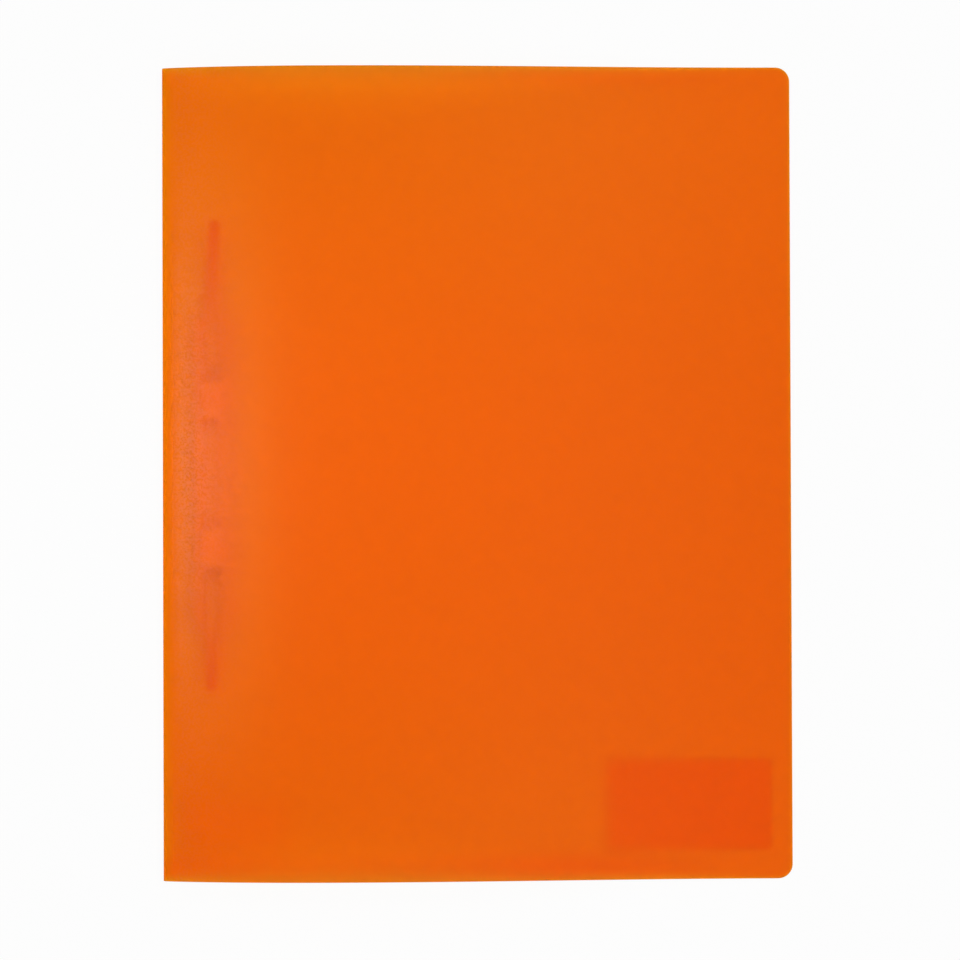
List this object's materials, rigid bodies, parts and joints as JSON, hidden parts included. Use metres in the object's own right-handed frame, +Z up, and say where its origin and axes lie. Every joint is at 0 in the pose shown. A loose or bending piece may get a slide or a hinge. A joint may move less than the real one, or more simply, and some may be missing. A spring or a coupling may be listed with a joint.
{
  "type": "fastener folder",
  "caption": "A4 flat file of translucent orange plastic sheet, lying closed, with a folding-tongue fastener, cover bar and sliders inside along the spine.",
  "frame": {"origin": "middle of the closed folder's footprint, at its underside", "axes": "+Z up out of the front cover, +Y up the page, +X from the spine to the open edge"},
  "size_m": [0.24, 0.31, 0.0111],
  "materials": {
    "film": "translucent orange polypropylene sheet with a fine pebbled matte grain",
    "coated_strip": "thin steel strip in a smooth orange plastic coat",
    "moulded": "smooth moulded orange plastic",
    "label_paper": "bare matte adhesive paper label"
  },
  "bodies": {
    "back": {"back_cover": "film", "strip_base": "coated_strip", "cover_bar": "moulded", "wide_label": "label_paper", "small_label": "label_paper"},
    "spine": {"spine_panel": "film"},
    "front": {"front_cover": "film"},
    "prong_top": {"prong_top": "coated_strip"},
    "prong_bottom": {"prong_bottom": "coated_strip"},
    "slider_top": {"slider_top": "moulded"},
    "slider_bottom": {"slider_bottom": "moulded"}
  },
  "joints": [
    {"name": "back_crease", "type": "hinge", "parent": "back", "child": "spine", "pos_m": [-0.1195, 0, 0.0005], "axis": [0, -1, 0], "range_deg": [0, 90]},
    {"name": "front_crease", "type": "hinge", "parent": "spine", "child": "front", "pos_m": [-0.1195, 0, 0.0042], "axis": [0, -1, 0], "range_deg": [0, 90]},
    {"name": "prong_top_fold", "type": "hinge", "parent": "back", "child": "prong_top", "pos_m": [-0.101, 0.04, 0.0028], "axis": [1, 0, 0], "range_deg": [0, 90]},
    {"name": "prong_bottom_fold", "type": "hinge", "parent": "back", "child": "prong_bottom", "pos_m": [-0.101, -0.04, 0.0028], "axis": [-1, 0, 0], "range_deg": [0, 90]},
    {"name": "slider_top_slide", "type": "slide", "parent": "back", "child": "slider_top", "axis": [0, 1, 0], "range_m": [0, 0.022]},
    {"name": "slider_bottom_slide", "type": "slide", "parent": "back", "child": "slider_bottom", "axis": [0, -1, 0], "range_m": [0, 0.022]}
  ],
  "couplings": [
    {"joint": "front_crease", "follows": "back_crease", "ratio": 1},
    {"joint": "prong_top_fold", "follows": "back_crease", "ratio": 1},
    {"joint": "prong_bottom_fold", "follows": "back_crease", "ratio": 1}
  ]
}
